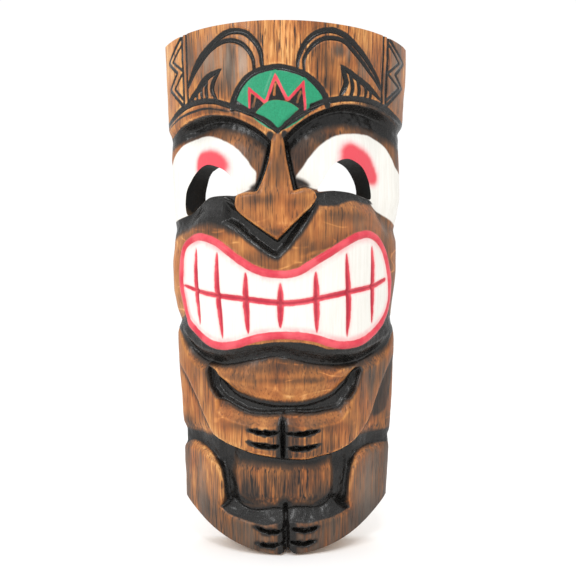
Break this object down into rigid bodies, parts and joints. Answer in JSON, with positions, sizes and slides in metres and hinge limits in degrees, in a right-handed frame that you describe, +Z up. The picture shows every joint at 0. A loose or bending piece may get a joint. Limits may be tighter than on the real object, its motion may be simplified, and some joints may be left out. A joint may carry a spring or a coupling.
{
  "type": "tiki wall figure",
  "caption": "Wall-hung carved tiki with a big grinning head over a small body, hollowed behind, with a ring hanger let into its back.",
  "frame": {"origin": "on the flat back, which lies on the wall, at the foot of the figure's centre line", "axes": "+Z up the figure, +Y out of the back into the wall, +X to the viewer's right; the carved face looks along -Y"},
  "size_m": [0.2506, 0.0875, 0.508],
  "materials": {
    "carved_wood": "carved, torch-burnt, painted in places and varnished",
    "strap_steel": "zinc-plated, satin",
    "ring_steel": "zinc-plated, satin",
    "screw_steel": "yellow-passivated, satin"
  },
  "bodies": {
    "figure": {"carved_figure": "carved_wood", "hanger_strap": "strap_steel", "hanger_screws": "screw_steel"},
    "ring": {"hanger_ring": "ring_steel"}
  },
  "joints": [
    {"name": "ring_swing", "type": "hinge", "parent": "figure", "child": "ring", "pos_m": [0, -0.0034, 0.474], "axis": [1, 0, 0], "range_deg": [0, 180]}
  ]
}
